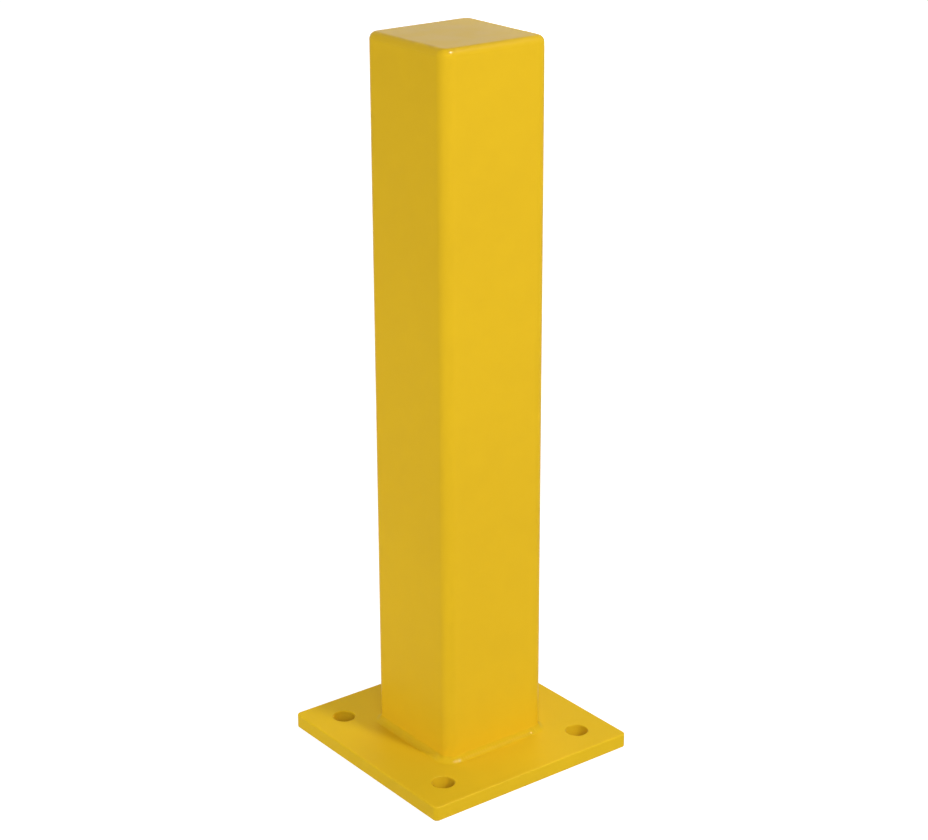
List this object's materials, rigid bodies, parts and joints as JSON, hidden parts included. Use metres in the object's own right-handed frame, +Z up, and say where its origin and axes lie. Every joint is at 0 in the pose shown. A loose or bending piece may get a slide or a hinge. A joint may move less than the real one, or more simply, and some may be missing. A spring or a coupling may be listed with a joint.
{
  "type": "bolt-down safety bollard",
  "caption": "Square steel guard post with a flat round-edged cap, fillet welded to a square base plate drilled at its corners for floor anchors, finished in gloss safety yellow.",
  "frame": {"origin": "centre of the base plate's underside, on the floor", "axes": "+Z up the post, X and Y square to the base plate's sides"},
  "size_m": [0.2032, 0.2032, 0.6096],
  "materials": {
    "plate_coat": "gloss safety-yellow powder coat",
    "post_coat": "gloss safety-yellow powder coat",
    "weld_coat": "gloss safety-yellow powder coat, pooled over a weld bead"
  },
  "bodies": {
    "root": {"base_plate": "plate_coat", "post_tube": "post_coat", "top_cap": "post_coat", "cap_weld": "post_coat", "foot_weld_back_right": "weld_coat", "foot_weld_back_left": "weld_coat", "foot_weld_front_left": "weld_coat", "foot_weld_front_right": "weld_coat"}
  },
  "joints": []
}
